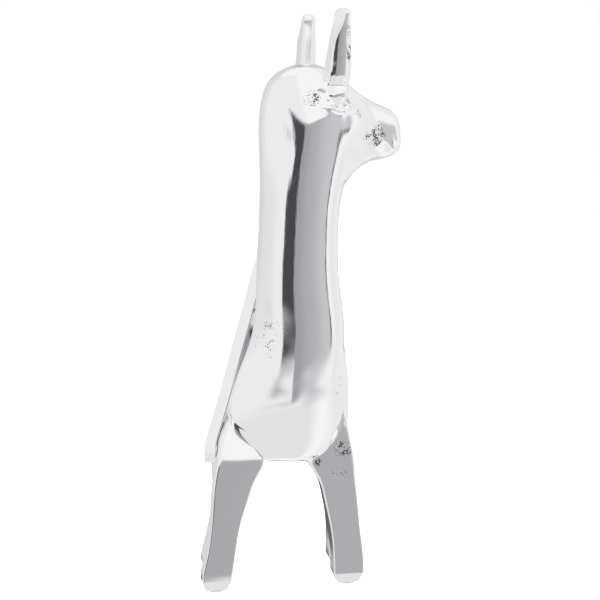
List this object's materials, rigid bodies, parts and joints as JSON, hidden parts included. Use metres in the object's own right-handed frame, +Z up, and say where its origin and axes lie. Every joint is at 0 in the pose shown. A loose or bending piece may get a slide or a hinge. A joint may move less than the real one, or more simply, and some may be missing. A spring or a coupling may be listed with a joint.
{
  "type": "llama figurine",
  "caption": "Standing stylised llama figure in mirror-polished cast aluminium, long neck upright, head turned aside, on splayed legs.",
  "frame": {"origin": "centre of the bounding box's bottom, on the surface that the feet stand on", "axes": "+X the way the body faces, +Y the figure's left side, +Z up"},
  "size_m": [0.1432, 0.0712, 0.3801],
  "materials": {
    "polished_aluminium": "sand cast and hand polished to a mirror, with small casting pits and fine polishing streaks",
    "as_cast_aluminium": "as cast, matt and slightly rough",
    "felt": "thin light grey pressed felt"
  },
  "bodies": {
    "root": {"body_shell_right": "polished_aluminium", "body_shell_left": "polished_aluminium", "core_plug": "as_cast_aluminium", "ear_right": "polished_aluminium", "ear_left": "polished_aluminium", "leg_front_right": "polished_aluminium", "leg_front_left": "polished_aluminium", "leg_hind_right": "polished_aluminium", "leg_hind_left": "polished_aluminium", "tail": "polished_aluminium", "pad_front_right": "felt", "pad_front_left": "felt", "pad_hind_right": "felt", "pad_hind_left": "felt"}
  },
  "joints": []
}
